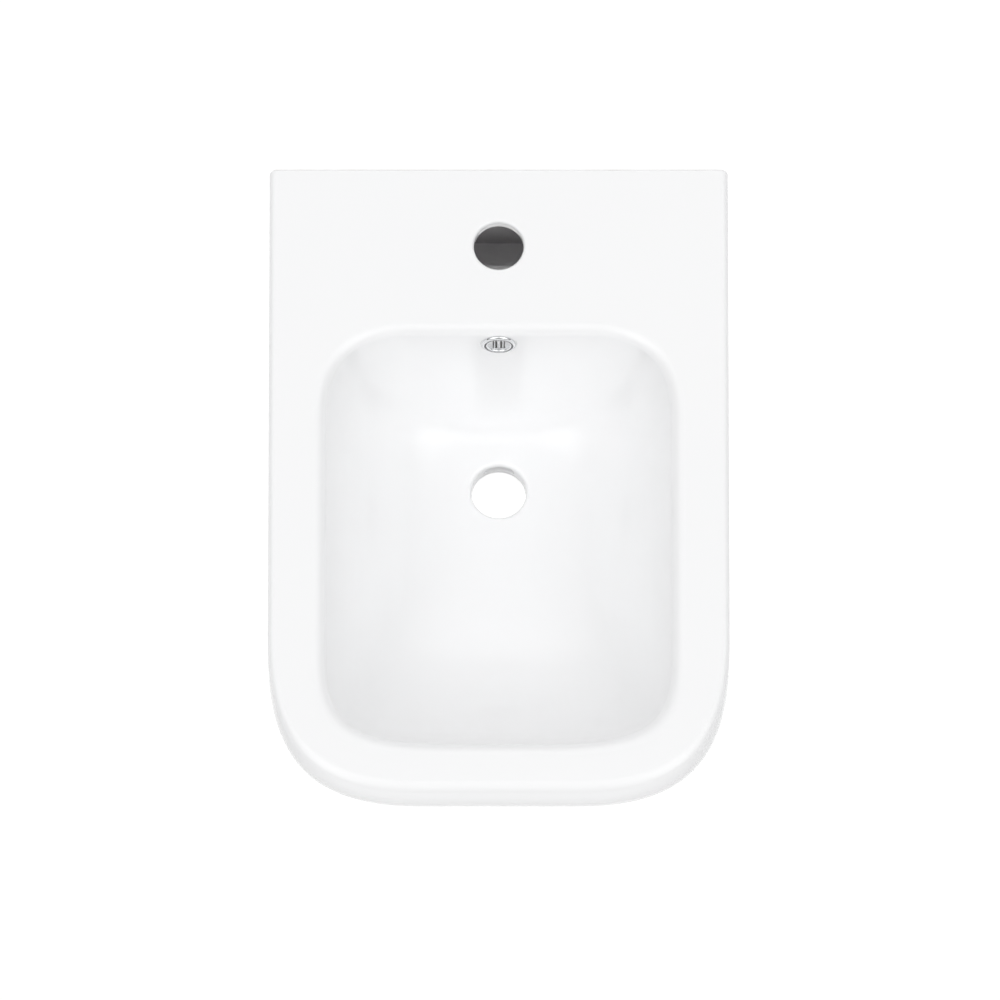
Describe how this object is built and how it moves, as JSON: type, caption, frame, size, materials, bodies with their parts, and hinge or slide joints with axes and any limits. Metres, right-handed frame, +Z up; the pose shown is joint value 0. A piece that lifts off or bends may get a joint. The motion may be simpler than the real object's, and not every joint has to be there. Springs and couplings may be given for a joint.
{
  "type": "wall-hung bidet",
  "caption": "Wall-hung bidet in white glazed ceramic: open bowl, flat rear deck with a tap hole, waste hole, chrome overflow trim and hidden wall fixings.",
  "frame": {"origin": "on the wall plane, midway between the two fixing holes, 80 mm below the deck", "axes": "+Z up, +Y into the wall, +X to the right as seen from the front"},
  "size_m": [0.36, 0.52, 0.29],
  "materials": {
    "white_glaze": "gloss",
    "chrome": "polished",
    "white_plastic": "satin",
    "black_rubber": "matte",
    "zinc_steel": "satin"
  },
  "bodies": {
    "root": {"ceramic_body": "white_glaze", "overflow_bezel": "chrome", "overflow_grille": "chrome", "overflow_sleeve": "white_plastic", "overflow_seal": "black_rubber", "fixing_bush_left": "white_plastic", "fixing_bush_right": "white_plastic", "cushion_washer_left": "black_rubber", "cushion_washer_right": "black_rubber", "steel_washer_left": "zinc_steel", "steel_washer_right": "zinc_steel", "fixing_nut_left": "zinc_steel", "fixing_nut_right": "zinc_steel"}
  },
  "joints": []
}
